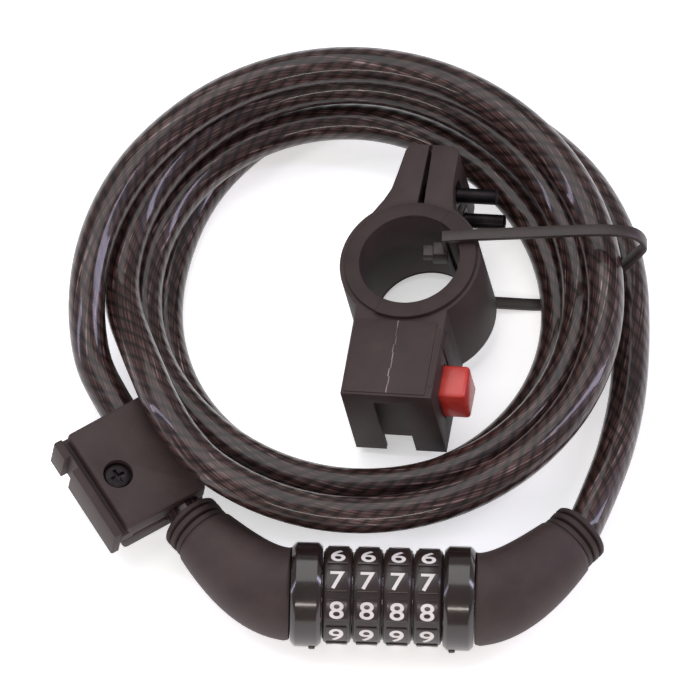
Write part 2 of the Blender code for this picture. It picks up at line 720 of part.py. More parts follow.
def make_coil():
    """The coil's outer shape: a leaning stack of turns, as one turned ring."""
    low, high = coil_ends()
    lean = math.atan2(high.y - low.y, high.x - low.x)
    outline = []
    for centre, start in ((high, lean - math.pi / 2), (low, lean + math.pi / 2)):
        for i in range(COIL_SECTION_SIDES):
            angle = start + math.pi * i / (COIL_SECTION_SIDES - 1)
            outline.append((
                centre.y + COIL_SECTION * math.sin(angle), centre.x + COIL_SECTION * math.cos(angle),
            ))
    coil = turned("cable_coil", outline, CABLE_JACKET, None, "Z", COIL_STEPS)
    half, thick = CARRIER_LENGTH / 2 + 2 * GAP, CARRIER_THICKNESS / 2 + 2 * GAP
    groove = TIE_WIDTH / 2 + 2 * GAP
    reach = COIL_SECTION * 2.4
    cut(
        coil,
        block("coil_carrier_cutter", (-half, -CARRIER_CABLE_INSET - 2 * GAP, -thick),
              (half, CARRIER_WIDTH, thick), frame=CARRIER),
        rod("coil_lead_cutter", (half - CUT, 0, 0), (half + CARRIER_LEAD, 0, 0),
            CABLE_DIAMETER / 2 + 2 * GAP, frame=CARRIER),
        block("coil_tie_cutter", (low.x - reach, TIE_Y - groove, -CUT),
              (low.x + reach, TIE_Y + groove, TIE_THICKNESS + 3 * GAP)),
    )


def lead_in_sleeve(side):
    """The cable's centre line from the ferrule to just outside the gland, in the world."""
    inner, outer = ferrule_line(side)
    end, out = sleeve_exit(side)
    along = (outer - inner).normalized()
    local = [outer + along * GAP, outer + along * CUT] + past_ferrule(side)
    local += [end, end + out * (GLAND_LENGTH + GAP)]
    return [to_world(HEAD, place) for place in local]


LEAD_ROUTE = [
    (0.0780, -0.0650, 0.0160), (0.0860, -0.0380, 0.0125), (0.0885, -0.0080, 0.0110),
    (0.0845, 0.0270, 0.0105), (0.0720, 0.0520, 0.0095), (0.0520, 0.0710, 0.0090),
    (0.0270, 0.0820, 0.0080), (0.0000, 0.0845, 0.0075), (-0.0210, 0.0800, 0.0075),
]


def make_cable():
    make_coil()
    half = CARRIER_LENGTH / 2
    left = lead_in_sleeve(-1)
    left += [to_world(CARRIER, (x, 0, 0)) for x in (-half, 0, half, half + CARRIER_LEAD - GAP)]
    tube("cable_lead_left", left, CABLE_DIAMETER / 2, CABLE_JACKET)
    right = lead_in_sleeve(1)
    right = right[:-1] + smooth([right[-1]] + LEAD_ROUTE, 2)
    tube("cable_lead_right", right, CABLE_DIAMETER / 2, CABLE_JACKET)


TIE_INSET = 0.0110  # the strap's place in the bore, from the clamp's axis
TIE_HEAD = Vector((0.0050, 0.0064, 0.0062))
TIE_SLACK = 0.0006


def tie_route():
    """The strap's middle line, in the plane y = TIE_Y, round the coil and through the bore."""
    low, high = coil_ends()
    low = Vector((math.sqrt(low.x**2 - TIE_Y**2), low.y))
    high = Vector((math.sqrt(high.x**2 - TIE_Y**2), high.y))
    along = (high - low).normalized()
    outward = Vector((along.y, -along.x))
    off = COIL_SECTION + GAP + TIE_THICKNESS / 2 + TIE_SLACK
    under = TIE_THICKNESS / 2
    y = TIE_Y - CLAMP_CENTRE.y
    over = LINER_FLANGE + 0.0024
    inside = [to_world(CLAMP, (TIE_INSET, y, z)) for z in (-over, CLAMP_WIDTH / 2, CLAMP_WIDTH + over)]
    flat = [Vector((place.x, place.z)) for place in inside]
    corner = Vector((0.0022, 0.0))
    rise = Vector((0.0, 0.0022))
    route = [flat[0] + rise, flat[1], flat[2] - rise, flat[2] + corner + rise / 3]
    route += [high + Vector((-0.0300, off - 0.0015)), high + Vector((-0.0100, off + 0.0003))]
    for step in (0.0, 0.35, 0.7, 1.0):
        angle = math.pi / 2 + step * (math.atan2(outward.y, outward.x) - math.pi / 2)
        route.append(high + off * Vector((math.cos(angle), math.sin(angle))))
    route += [(low + high) / 2 + outward * off, low + along * off * 0.6 + outward * off]
    route += [low + outward * off * 1.04, Vector((low.x + off * 0.8, under)), Vector((low.x, under))]
    route += [Vector((low.x - off, under)), Vector((flat[0].x + 0.0120, under + 0.0012))]
    route += [flat[0] + corner]
    return [Vector((place.x, TIE_Y, place.y)) for place in route]


def make_tie():
    route = tie_route()
    middle = [p for p in smooth(route + route[:1], 3)][:-1]
    shape = bmesh.new()
    edges = []
    for place in middle:
        near = shape.verts.new(place - Vector((0, TIE_WIDTH / 2, 0)))
        far = shape.verts.new(place + Vector((0, TIE_WIDTH / 2, 0)))
        edges.append((near, far))
    for (a, b), (c, d) in zip(edges, edges[1:] + edges[:1]):
        shape.faces.new((a, b, d, c))
    mesh = bpy.data.meshes.new("cable_tie")
    shape.to_mesh(mesh)
    shape.free()
    tie = add_mesh("cable_tie", mesh, NYLON_BLACK)
    wall = tie.modifiers.new("thickness", "SOLIDIFY")
    wall.thickness = TIE_THICKNESS
    wall.offset = 0.0
    y = TIE_Y - CLAMP_CENTRE.y
    lock = to_world(CLAMP, (TIE_INSET, y, CLAMP_WIDTH - TIE_HEAD.z))
    lock.x -= TIE_HEAD.x / 2 + TIE_THICKNESS / 4
    lock.y = TIE_Y
    tail = Vector((TIE_HEAD.x / 2 + 0.0030, TIE_WIDTH / 2, TIE_HEAD.z / 4))
    join(
        tie,
        block("tie_head", lock - TIE_HEAD / 2, lock + TIE_HEAD / 2, edge=0.0006),
        block("tie_tail", lock - tail, lock + Vector((0, tail.y, tail.z))),
    )


def put_origin_under_centre():
    """Moves everything so that the origin is below the middle of all but the free cable."""
    bpy.context.view_layer.update()
    graph = bpy.context.evaluated_depsgraph_get()
    places = []
    for node in PARTS.objects:
        if node.type == "MESH" and not node.name.startswith("cable_lead") and node.name != "cable_coil":
            shape = node.evaluated_get(graph)
            places += [shape.matrix_world @ Vector(corner) for corner in shape.bound_box]
    shift = Vector()
    for axis in (0, 1):
        values = [place[axis] for place in places]
        shift[axis] = -(min(values) + max(values)) / 2
    for made in list(PARTS.objects) + list(CUTTERS.objects):
        if not made.parent:
            made.location += shift
    bpy.context.view_layer.update()


place_carrier()
make_head()
make_carrier()
make_clamp_body()
make_clamp_liner()
make_clamp_bolts()
make_release_button()
make_cable()
make_tie()
put_origin_under_centre()
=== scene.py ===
import math

import bmesh
import bpy
from mathutils import Matrix, Vector


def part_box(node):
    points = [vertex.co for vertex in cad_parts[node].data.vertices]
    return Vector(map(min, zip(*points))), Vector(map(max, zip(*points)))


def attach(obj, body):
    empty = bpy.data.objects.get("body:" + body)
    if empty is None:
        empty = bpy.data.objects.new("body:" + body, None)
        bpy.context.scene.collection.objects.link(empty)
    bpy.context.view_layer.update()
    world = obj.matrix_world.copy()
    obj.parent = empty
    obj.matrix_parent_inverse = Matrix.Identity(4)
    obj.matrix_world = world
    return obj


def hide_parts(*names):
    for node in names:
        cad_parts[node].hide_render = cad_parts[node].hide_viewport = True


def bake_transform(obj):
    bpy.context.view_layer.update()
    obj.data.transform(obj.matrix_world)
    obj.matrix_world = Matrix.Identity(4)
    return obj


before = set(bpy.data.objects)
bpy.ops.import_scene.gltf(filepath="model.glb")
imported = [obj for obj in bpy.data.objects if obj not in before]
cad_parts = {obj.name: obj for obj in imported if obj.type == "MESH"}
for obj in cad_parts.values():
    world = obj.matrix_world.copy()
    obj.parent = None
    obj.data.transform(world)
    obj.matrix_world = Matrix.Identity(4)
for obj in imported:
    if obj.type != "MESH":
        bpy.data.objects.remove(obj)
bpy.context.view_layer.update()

# ---- camera, floor and studio light
# The lock lies on a white sheet and is seen from in front at sixty degrees above it.
# Two long soft boxes give the glossy mouldings their bands, and a white room fills the rest.

VIEW_WIDTH = 0.2268
VIEW_TARGET = Vector((0.0005, 0.0195, 0.0200))
VIEW_HEIGHT = math.radians(60)
CAMERA_BACK = 1.5
ROOM_LIGHT = 0.42
FLOOR_GLOW = 0.45


def srgb(code, alpha=1.0):
    """An sRGB hex colour as linear RGBA."""
    parts = [int(code[i:i + 2], 16) / 255 for i in (1, 3, 5)]
    linear = [c / 12.92 if c <= 0.04045 else ((c + 0.055) / 1.055) ** 2.4 for c in parts]
    return linear + [alpha]


def add(made, kind, inputs=None, **settings):
    """Adds a node to a material, sets it, and gives its sockets values or links."""
    node = made.node_tree.nodes.new(kind)
    for name, value in settings.items():
        setattr(node, name, value)
    for name, value in (inputs or {}).items():
        if isinstance(value, bpy.types.NodeSocket):
            made.node_tree.links.new(value, node.inputs[name])
        else:
            node.inputs[name].default_value = value
    return node


def new_material(name):
    made = bpy.data.materials.new(name)
    made.use_nodes = True
    return made, made.node_tree.nodes["Principled BSDF"]


camera = bpy.data.objects.new("camera", bpy.data.cameras.new("camera"))
bpy.context.scene.collection.objects.link(camera)
camera.data.type = "ORTHO"
camera.data.ortho_scale = VIEW_WIDTH
back = Vector((0, -math.cos(VIEW_HEIGHT), math.sin(VIEW_HEIGHT)))
camera.location = VIEW_TARGET + back * CAMERA_BACK
camera.rotation_euler = (math.pi / 2 - VIEW_HEIGHT, 0, 0)
bpy.context.scene.camera = camera

world = bpy.data.worlds.new("white_room")
world.use_nodes = True
world.node_tree.nodes["Background"].inputs["Color"].default_value = (1, 1, 1, 1)
world.node_tree.nodes["Background"].inputs["Strength"].default_value = ROOM_LIGHT
bpy.context.scene.world = world
bpy.context.scene.view_settings.view_transform = "Standard"

# Each lamp has its place and its two sides in metres, its power in watts and its colour.
for name, place, size, power, tint in (
    ("overhead_soft_box", (-0.20, 0.25, 0.90), (1.10, 0.80), 6.0, "#ffffff"),
    ("front_strip", (0.00, -0.70, 0.50), (0.90, 0.06), 2.4, "#fff4ec"),
    ("right_strip", (0.75, 0.10, 0.50), (0.10, 0.90), 3.4, "#e6e0ff"),
    ("left_strip", (-0.75, 0.00, 0.42), (0.05, 0.90), 1.6, "#e6e0ff"),
):
    lamp = bpy.data.objects.new(name, bpy.data.lights.new(name, "AREA"))
    lamp.data.shape = "RECTANGLE"
    lamp.data.size, lamp.data.size_y = size
    lamp.data.energy = power
    lamp.data.color = srgb(tint)[:3]
    lamp.location = place
    lamp.rotation_euler = (VIEW_TARGET - lamp.location).to_track_quat("-Z", "Y").to_euler()
    bpy.context.scene.collection.objects.link(lamp)

# Smooth white paper: no shine, a fibre too faint to notice, and a glow that keeps it clear white.
paper, shader = new_material("white_sweep_paper")
spot = add(paper, "ShaderNodeTexCoord")
fibre = add(paper, "ShaderNodeTexNoise", {"Vector": spot.outputs["Object"], "Scale": 900.0})
tone = add(paper, "ShaderNodeValToRGB", {"Fac": fibre.outputs["Fac"]})
tone.color_ramp.elements[0].color = srgb("#fdfdfd")
tone.color_ramp.elements[1].color = srgb("#ffffff")
paper.node_tree.links.new(tone.outputs["Color"], shader.inputs["Base Color"])
shader.inputs["Roughness"].default_value = 0.9
shader.inputs["Emission Color"].default_value = srgb("#ffffff")
shader.inputs["Emission Strength"].default_value = FLOOR_GLOW
shape = bmesh.new()
bmesh.ops.create_grid(shape, x_segments=2, y_segments=2, size=3.0)
sheet = bpy.data.meshes.new("floor")
shape.to_mesh(sheet)
shape.free()
floor = bpy.data.objects.new("floor", sheet)
bpy.context.scene.collection.objects.link(floor)
floor.data.materials.append(paper)

# ---- coiled cable
# A stiff 12 mm cable: twisted steel wire under a clear smoked vinyl jacket, so the strands show.
# It leaves the left gland through the carrier, winds nearly four turns down a cone and ends in
# the right gland. It is crimped in a ferrule inside each sleeve.

CABLE_RADIUS = 0.0060
COIL_MIDDLE = Vector((0.004701, 0.036545, 0.0))
LEFT_GLAND = Vector((-0.046657, -0.048326, 0.0170))
LEFT_OUT = Vector((-0.617722, 0.786396, 0.0))
RIGHT_GLAND = Vector((0.070399, -0.052107, 0.0170))
RIGHT_OUT = Vector((0.667183, 0.744894, 0.0))
GLAND_LENGTH = 0.0080
GLAND_INSET = 0.0005
CARRIER_MIDDLE = Vector((-0.063741, -0.022603, 0.020629))
CARRIER_X = Vector((-0.523395, 0.837607, 0.156434))
CARRIER_Y = Vector((-0.848048, -0.529919, 0.0))
CARRIER_REACH = 0.0190  # from the carrier's middle to where the cable leaves it
WIRES = 40  # round the jacket, 0.9 mm apart
WIRE_LAY = -0.0075  # along the cable for one wire's width, and against the strands
STRANDS = 8
STRAND_LAY = 0.0060
STREAKS = 45.0  # in each metre of wire
TURN_STEP = 9.0  # degrees
PATH_STEP = 0.0030
CABLE_SIDES = 24

# The turns, as degrees round the coil, then millimetres from its middle and above the floor.
TURNS = [
    (206.2, 89.8, 24.3), (196, 91.0, 27.8), (180, 89.0, 35.5), (160, 85.0, 40.5),
    (135, 80.5, 42.4), (90, 76.6, 42.3), (45, 76.6, 38.0), (0, 78.6, 33.0),
    (-45, 83.0, 33.0), (-90, 87.2, 34.5), (-125, 85.6, 36.0), (-140, 81.8, 37.4),
    (-152, 78.3, 37.0), (-166, 77.0, 33.0), (-180, 78.4, 28.6), (-225, 77.6, 30.0),
    (-270, 76.0, 30.2), (-315, 73.0, 26.0), (-360, 70.5, 21.0), (-405, 69.4, 20.0),
    (-450, 68.6, 20.6), (-495, 68.4, 20.0), (-540, 71.0, 17.8), (-585, 71.6, 18.6),
    (-630, 69.4, 18.2), (-675, 65.8, 13.0), (-720, 63.6, 9.0), (-765, 62.4, 8.0),
    (-810, 62.2, 7.8), (-855, 62.6, 7.0), (-900, 64.2, 6.4), (-925, 67.0, 6.1),
    (-950, 73.5, 6.1), (-975, 81.0, 6.4), (-992, 85.6, 7.4), (-1008, 87.6, 8.0),
    (-1026, 88.6, 9.0), (-1044, 88.8, 9.5), (-1062, 87.8, 10.5), (-1085, 87.2, 11.0),
    (-1104, 92.4, 12.6), (-1120, 101.0, 16.0),
]


def between(keys, at):
    """The radius and height at an angle, on a smooth line through the keys."""
    index = max(i for i in range(len(keys) - 1) if keys[i][0] >= at)
    (a, *low), (b, *high) = keys[index], keys[index + 1]
    before, after = keys[max(index - 1, 0)], keys[min(index + 2, len(keys) - 1)]
    t, span = (a - at) / (a - b), a - b
    values = []
    for i in (0, 1):
        first = (high[i] - before[i + 1]) / (before[0] - b) * span
        second = (after[i + 1] - low[i]) / (a - after[0]) * span
        values.append(
            low[i] * (2 * t**3 - 3 * t**2 + 1) + first * (t**3 - 2 * t**2 + t)
            + high[i] * (3 * t**2 - 2 * t**3) + second * (t**3 - t**2)
        )
    return values


def through(points, step):
    """Points about a step apart on a smooth curve through the given ones."""
    ends = [points[0] * 2 - points[1]] + points + [points[-1] * 2 - points[-2]]
    curve = []
    for a, b, c, d in zip(ends, ends[1:], ends[2:], ends[3:]):
        count = max(1, round((c - b).length / step))
        for i in range(count):
            t = i / count
            curve.append(
                (b * 2 + (c - a) * t + (a * 2 - b * 5 + c * 4 - d) * t**2
                 + (b * 3 - a - c * 3 + d) * t**3) / 2
            )
    return curve + [points[-1]]


def swept(name, points, radii, sides, cyclic=False):
    """A mesh tube on the points, with a radius at each point."""
    line = bpy.data.curves.new(name, "CURVE")
    line.dimensions = "3D"
    line.bevel_depth = 1.0
    line.bevel_resolution = sides // 2 - 2
    line.use_fill_caps = not cyclic
    line.twist_mode = "MINIMUM"
    spline = line.splines.new("POLY")
    spline.points.add(len(points) - 1)
    for knot, place, radius in zip(spline.points, points, radii):
        knot.co = (*place, 1)
        knot.radius = radius
    spline.use_cyclic_u = cyclic
    holder = bpy.data.objects.new(name, line)
    bpy.context.scene.collection.objects.link(holder)
    mesh = bpy.data.meshes.new_from_object(holder)
    bpy.data.objects.remove(holder)
    bpy.data.curves.remove(line)
    mesh.name = name
    return mesh


def place_piece(name, mesh, made, body, *nodes, angle=35.0):
    """Puts a finished mesh in the scene, on its body and in place of its CAD nodes."""
    obj = bpy.data.objects.new(name, mesh)
    bpy.context.scene.collection.objects.link(obj)
    mesh.materials.clear()
    mesh.materials.append(made)
    shape = bmesh.new()
    shape.from_mesh(mesh)
    for face in shape.faces:
        face.smooth = True
    for edge in shape.edges:
        edge.smooth = len(edge.link_faces) == 2 and edge.calc_face_angle(0) < math.radians(angle)
    shape.to_mesh(mesh)
    shape.free()
    if body:
        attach(obj, body)
    if nodes:
        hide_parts(*nodes)
    return obj


cable_points = [
    LEFT_GLAND + LEFT_OUT * GLAND_INSET, LEFT_GLAND + LEFT_OUT * GLAND_LENGTH,
    CARRIER_MIDDLE - CARRIER_X * CARRIER_REACH, CARRIER_MIDDLE,
    CARRIER_MIDDLE + CARRIER_X * CARRIER_REACH,
]
angle = TURNS[0][0]
while angle > TURNS[-1][0]:
    radius, height = between(TURNS, angle)
    turn = math.radians(angle)
    spoke = Vector((math.cos(turn) * radius, math.sin(turn) * radius, height))
    cable_points.append(COIL_MIDDLE + spoke / 1000)
    angle -= TURN_STEP
cable_points.append(RIGHT_GLAND + RIGHT_OUT * GLAND_LENGTH)
cable_points.append(RIGHT_GLAND + RIGHT_OUT * GLAND_INSET)
cable_path = through(cable_points, PATH_STEP)
cable_mesh = swept("cable", cable_path, [CABLE_RADIUS] * len(cable_path), CABLE_SIDES)

# Clear smoked vinyl over dull steel wire: brown-grey wires show through it under a narrow wet
# shine. The near black in the grooves between wires and strands is painted shade, and the
# palest streaks along the wires are painted highlight.
jacket, shader = new_material("smoked_vinyl_over_twisted_wire")
flat = add(jacket, "ShaderNodeUVMap", uv_map="along_and_round")
split = add(jacket, "ShaderNodeSeparateXYZ", {"Vector": flat.outputs["UV"]})


def wave(count, lay):
    """The place across helical strands, and their round backs from -1 to 1."""
    along = add(jacket, "ShaderNodeMath", {0: split.outputs["X"], 1: 1 / lay}, operation="MULTIPLY")
    place = add(jacket, "ShaderNodeMath", {
        0: split.outputs["Y"], 1: float(count), 2: along.outputs[0],
    }, operation="MULTIPLY_ADD")
    turned = add(jacket, "ShaderNodeMath", {
        0: place.outputs[0], 1: 2 * math.pi,
    }, operation="MULTIPLY")
    backs = add(jacket, "ShaderNodeMath", {0: turned.outputs[0]}, operation="SINE")
    return place.outputs[0], backs.outputs[0]


wire_place, wire_back = wave(WIRES, WIRE_LAY)
strand_back = wave(STRANDS, STRAND_LAY)[1]
far = add(jacket, "ShaderNodeMath", {0: split.outputs["X"], 1: STREAKS}, operation="MULTIPLY")
streak_place = add(jacket, "ShaderNodeCombineXYZ", {"X": wire_place, "Y": far.outputs[0]})
streak = add(jacket, "ShaderNodeTexNoise", {
    "Vector": streak_place.outputs["Vector"], "Scale": 0.9, "Detail": 3.0, "Roughness": 0.6,
})
# The wires' tone varies at random along them; the pale top stops of this ramp are painted
# highlight, bright streaks that stand for glints on the wires.
wire = add(jacket, "ShaderNodeValToRGB", {"Fac": streak.outputs["Fac"]})
for position, code in ((0.34, "#1c100f"), (0.50, "#3a2724"), (0.62, "#57403d"), (0.72, "#8c7978")):
    stop = wire.color_ramp.elements.new(position)
    stop.color = srgb(code)
wire.color_ramp.elements.remove(wire.color_ramp.elements[0])
wire.color_ramp.elements[-1].color = srgb("#b9a9a8")
wire.color_ramp.elements[-1].position = 0.84
# Painted shade: the wire colour is mixed towards near black in the grooves between wires and
# between strands.
between_wires = add(jacket, "ShaderNodeMapRange", {
    "Value": wire_back, "From Min": -1.0, "From Max": 0.3, "To Min": 0.35, "To Max": 1.0,
})
between_strands = add(jacket, "ShaderNodeMapRange", {
    "Value": strand_back, "From Min": -1.0, "From Max": 0.1, "To Min": 0.30, "To Max": 1.0,
})
groove = add(jacket, "ShaderNodeMath", {
    0: between_wires.outputs["Result"], 1: between_strands.outputs["Result"],
}, operation="MULTIPLY")
wire_with_painted_shade = add(jacket, "ShaderNodeMix", {
    "Factor": groove.outputs[0], 6: srgb("#060505"), 7: wire.outputs["Color"],
}, data_type="RGBA")
jacket.node_tree.links.new(wire_with_painted_shade.outputs[2], shader.inputs["Base Color"])
bump = add(jacket, "ShaderNodeBump", {
    "Height": strand_back, "Strength": 0.30, "Distance": 0.0002,
})
jacket.node_tree.links.new(bump.outputs["Normal"], shader.inputs["Normal"])
shader.inputs["Roughness"].default_value = 0.34
shader.inputs["IOR"].default_value = 1.53
shader.inputs["Specular IOR Level"].default_value = 0.16
shader.inputs["Coat Weight"].default_value = 0.42
shader.inputs["Coat Roughness"].default_value = 0.07

uv = cable_mesh.uv_layers[0] if cable_mesh.uv_layers else cable_mesh.uv_layers.new()
uv.name = "along_and_round"
distances = [0.0]
for a, b in zip(cable_path, cable_path[1:]):
    distances.append(distances[-1] + (b - a).length)
for face in cable_mesh.polygons:
    rounds = [cable_mesh.loops[i].vertex_index % CABLE_SIDES for i in face.loop_indices]
    wraps = max(rounds) - min(rounds) > CABLE_SIDES / 2 and len(rounds) == 4
    for loop, place in zip(face.loop_indices, rounds):
        ring = cable_mesh.loops[loop].vertex_index // CABLE_SIDES
        full = place + CABLE_SIDES if wraps and place < CABLE_SIDES / 2 else place
        uv.data[loop].uv = (distances[min(ring, len(distances) - 1)], full / CABLE_SIDES)

cable = place_piece(
    "cable", cable_mesh, jacket, None, "cable_coil", "cable_lead_left", "cable_lead_right",
)
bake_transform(cable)

# ---- numbered dials
# Four wheels of glossy ABS on the barrel, each with ten raised pads, one for each number.
# The numbers are printed white on the pads, and the row of sevens and eights is up.

HEAD_MIDDLE = Vector((0.011201, -0.070955, 0.0170))
HEAD_X = Vector((0.999479, -0.032283, 0.0))
HEAD_Y = Vector((0.032283, 0.999479, 0.0))
UP = Vector((0, 0, 1))
DIAL_PITCH = 0.0098
DIAL_HALF = 0.0044
DIAL_HUB_HALF = 0.0048
PAD_RADIUS = 0.0160
DRUM_RADIUS = 0.0155
PAD_LONG, PAD_ROUND = 0.0070, 0.0076
PAD_DEEP, PAD_EDGE = 0.0010, 0.00028
HUB_BORE, HUB_RADIUS = 0.0128, 0.0141
DIGIT_HEIGHT, DIGIT_WIDTH = 0.0060, 0.0047
ONE_WIDTH = 0.55  # of the other digits' width
INK = 0.00005
FACING = math.radians(120)
DIGIT_TURN = math.radians(36)
FACING_DIGIT = 7.5  # the line between the seven and the eight faces up


def on_head(along, across=0.0, up=0.0):
    return HEAD_MIDDLE + HEAD_X * along + HEAD_Y * across + UP * up


def lathe(shape, middle, axis, outline, steps):
    """Turns a closed outline of (along, radius) about an axis."""
    side = axis.orthogonal().normalized()
    knots = [shape.verts.new(middle + axis * along + side * radius) for along, radius in outline]
    rim = [shape.edges.new(pair) for pair in zip(knots, knots[1:] + knots[:1])]
    bmesh.ops.spin(
        shape, geom=knots + rim, cent=middle, axis=axis, angle=2 * math.pi, steps=steps,
        use_merge=True,
    )


def slab(shape, low, high, edge, segments=2):
    """Adds a bevelled block between two corners, and returns its points."""
    low, high = Vector(low), Vector(high)
    made = bmesh.ops.create_cube(shape, size=1.0)["verts"]
    sized = Matrix.Translation((low + high) / 2) @ Matrix.Diagonal((*(high - low), 1))
    bmesh.ops.transform(shape, verts=made, matrix=sized)
    edges = list({line for knot in made for line in knot.link_edges})
    done = bmesh.ops.bevel(
        shape, geom=made + edges, offset=edge, segments=segments, profile=0.5, affect="EDGES",
        material=-1,
    )
    eased_knots = {knot for face in done["faces"] for knot in face.verts}
    return list(eased_knots | {knot for knot in made if knot.is_valid})


def sliced(shape, axis, low, high, step):
    """Cuts across the shape at even steps, so that it can be bent."""
    normal = Vector([1.0 if i == axis else 0.0 for i in range(3)])
    count = int((high - low) / step)
    for i in range(1, count):
        place = normal * (low + (high - low) * i / count)
        bmesh.ops.bisect_plane(
            shape, geom=list(shape.verts) + list(shape.edges) + list(shape.faces),
            plane_co=place, plane_no=normal,
        )


def bent_on(shape, along, radius, angle):
    """Bends a flat shape, in x along the head and y round it, on to a drum of that radius."""
    for knot in shape.verts:
        x, y, z = knot.co
        turn = angle - y / radius
        reach = radius + z
        knot.co = on_head(along + x, reach * math.cos(turn), reach * math.sin(turn))


def taken(shape, other):
    """Adds another bmesh's geometry."""
    spare = bpy.data.meshes.new("spare")
    other.to_mesh(spare)
    other.free()
    shape.from_mesh(spare)
    bpy.data.meshes.remove(spare)


def closed_mesh(name, shape):
    bmesh.ops.recalc_face_normals(shape, faces=list(shape.faces))
    mesh = bpy.data.meshes.new(name)
    shape.to_mesh(mesh)
    shape.free()
    return mesh


def moulded(name, dark, light, rough, grain, depth, coat=0.0, specular=0.5):
    """Moulded plastic: a mottle 12 mm across and a fine grain of the given size, in metres."""
    made, shader = new_material(name)
    place = add(made, "ShaderNodeTexCoord")
    mottle = add(made, "ShaderNodeTexNoise", {
        "Vector": place.outputs["Object"], "Scale": 85.0, "Detail": 5.0, "Roughness": 0.6,
    })
    tone = add(made, "ShaderNodeValToRGB", {"Fac": mottle.outputs["Fac"]})
    for stop, position, code in zip(tone.color_ramp.elements, (0.34, 0.70), (dark, light)):
        stop.position = position
        stop.color = srgb(code)
    made.node_tree.links.new(tone.outputs["Color"], shader.inputs["Base Color"])
    worn = add(made, "ShaderNodeMapRange", {
        "Value": mottle.outputs["Fac"], "To Min": rough - 0.06, "To Max": rough + 0.08,
    })
    made.node_tree.links.new(worn.outputs["Result"], shader.inputs["Roughness"])
    fine = add(made, "ShaderNodeTexNoise", {
        "Vector": place.outputs["Object"], "Scale": 1 / grain, "Detail": 3.0,
    })
    bump = add(made, "ShaderNodeBump", {
        "Height": fine.outputs["Fac"], "Strength": depth, "Distance": grain * 0.25,
    })
    made.node_tree.links.new(bump.outputs["Normal"], shader.inputs["Normal"])
    shader.inputs["IOR"].default_value = 1.53
    shader.inputs["Specular IOR Level"].default_value = specular
    shader.inputs["Coat Weight"].default_value = coat
    shader.inputs["Coat Roughness"].default_value = 0.07
    return made


# ABS from a polished mould: near black and smooth, with soft highlights along the pads.
gloss_abs = moulded(
    "polished_abs", "#221918", "#2e2221", 0.30, 0.0009, 0.10, coat=0.10, specular=0.38,
)
# Pad-printed ink: a flat warm white that takes no shine.
print_white = moulded("white_pad_print", "#bdb7b6", "#d6d1d0", 0.55, 0.0004, 0.10)
# ABS from a mirror-finished mould: the soft boxes show in it as sharp bands.
bright_abs = moulded(
    "burnished_abs", "#1c1413", "#271c1a", 0.16, 0.0012, 0.04, coat=0.22, specular=0.42,
)


def digit_shape(number):
    """A printed digit of 0.05 mm ink, scaled to the size of the type and cut so that it bends."""
    text = bpy.data.curves.new("digit", "FONT")
    text.body = str(number)
    text.resolution_u = 8
    text.offset = 0.012
    text_depth = 0.02
    text.extrude = text_depth
    holder = bpy.data.objects.new("digit", text)
    bpy.context.scene.collection.objects.link(holder)
    mesh = bpy.data.meshes.new_from_object(holder)
    bpy.data.objects.remove(holder)
    shape = bmesh.new()
    shape.from_mesh(mesh)
    bpy.data.meshes.remove(mesh)
    bmesh.ops.remove_doubles(shape, verts=list(shape.verts), dist=1e-5)
    low = Vector([min(k.co[i] for k in shape.verts) for i in range(3)])
    high = Vector([max(k.co[i] for k in shape.verts) for i in range(3)])
    wide = DIGIT_WIDTH * (ONE_WIDTH if number == 1 else 1.0)
    scale = Matrix.Diagonal((
        wide / (high.x - low.x), DIGIT_HEIGHT / (high.y - low.y), INK / (2 * text_depth), 1,
    ))
    bmesh.ops.transform(
        shape, verts=list(shape.verts),
        matrix=Matrix.Translation((0, 0, 0.00003)) @ scale @ Matrix.Translation(-(low + high) / 2),
    )
    sliced(shape, 1, -DIGIT_HEIGHT / 2, DIGIT_HEIGHT / 2, 0.0006)
    return shape


for dial in range(4):
    along = DIAL_PITCH * (dial - 1.5)
    shape = bmesh.new()
    lathe(shape, on_head(along), HEAD_X, [
        (-DIAL_HUB_HALF, HUB_BORE), (-DIAL_HUB_HALF, HUB_RADIUS),
        (-DIAL_HALF, 0.0143), (-DIAL_HALF, 0.0149), (-DIAL_HALF + 0.0002, 0.0151),
        (-DIAL_HALF + 0.0008, DRUM_RADIUS), (DIAL_HALF - 0.0008, DRUM_RADIUS),
        (DIAL_HALF - 0.0002, 0.0151), (DIAL_HALF, 0.0149), (DIAL_HALF, 0.0143),
        (DIAL_HUB_HALF, HUB_RADIUS), (DIAL_HUB_HALF, HUB_BORE),
    ], 120)
    for number in range(10):
        pad = bmesh.new()
        low, high = (-PAD_LONG / 2, -PAD_ROUND / 2, -PAD_DEEP), (PAD_LONG / 2, PAD_ROUND / 2, 0.0)
        slab(pad, low, high, PAD_EDGE)
        sliced(pad, 1, -PAD_ROUND / 2, PAD_ROUND / 2, 0.0009)
        bent_on(pad, along, PAD_RADIUS, FACING + DIGIT_TURN * (number - FACING_DIGIT))
        taken(shape, pad)
    pads_end = len(shape.faces)
    for number in range(10):
        digit = digit_shape(number)
        bent_on(digit, along, PAD_RADIUS, FACING + DIGIT_TURN * (number - FACING_DIGIT))
        taken(shape, digit)
    name, node = f"numbered_dial_{dial + 1}", f"dial_{dial + 1}"
    mesh = closed_mesh(name, shape)
    obj = place_piece(name, mesh, gloss_abs, node, node)
    mesh.materials.append(print_white)
    for face in mesh.polygons[pads_end:]:
        face.material_index = 1

# ---- collars
# A glossy ABS collar closes each end of the row. The left one is fixed to the barrel, and the
# right one pulls away with the pin. Each has a moulding nub below its inner edge.

COLLAR_START, COLLAR_END, COLLAR_RADIUS = 0.0197, 0.0297, 0.0170
COLLAR_BORE, COLLAR_MOUTH, COLLAR_WALL = 0.0104, 0.0060, 0.0030
NUB_TURN = math.radians(208)

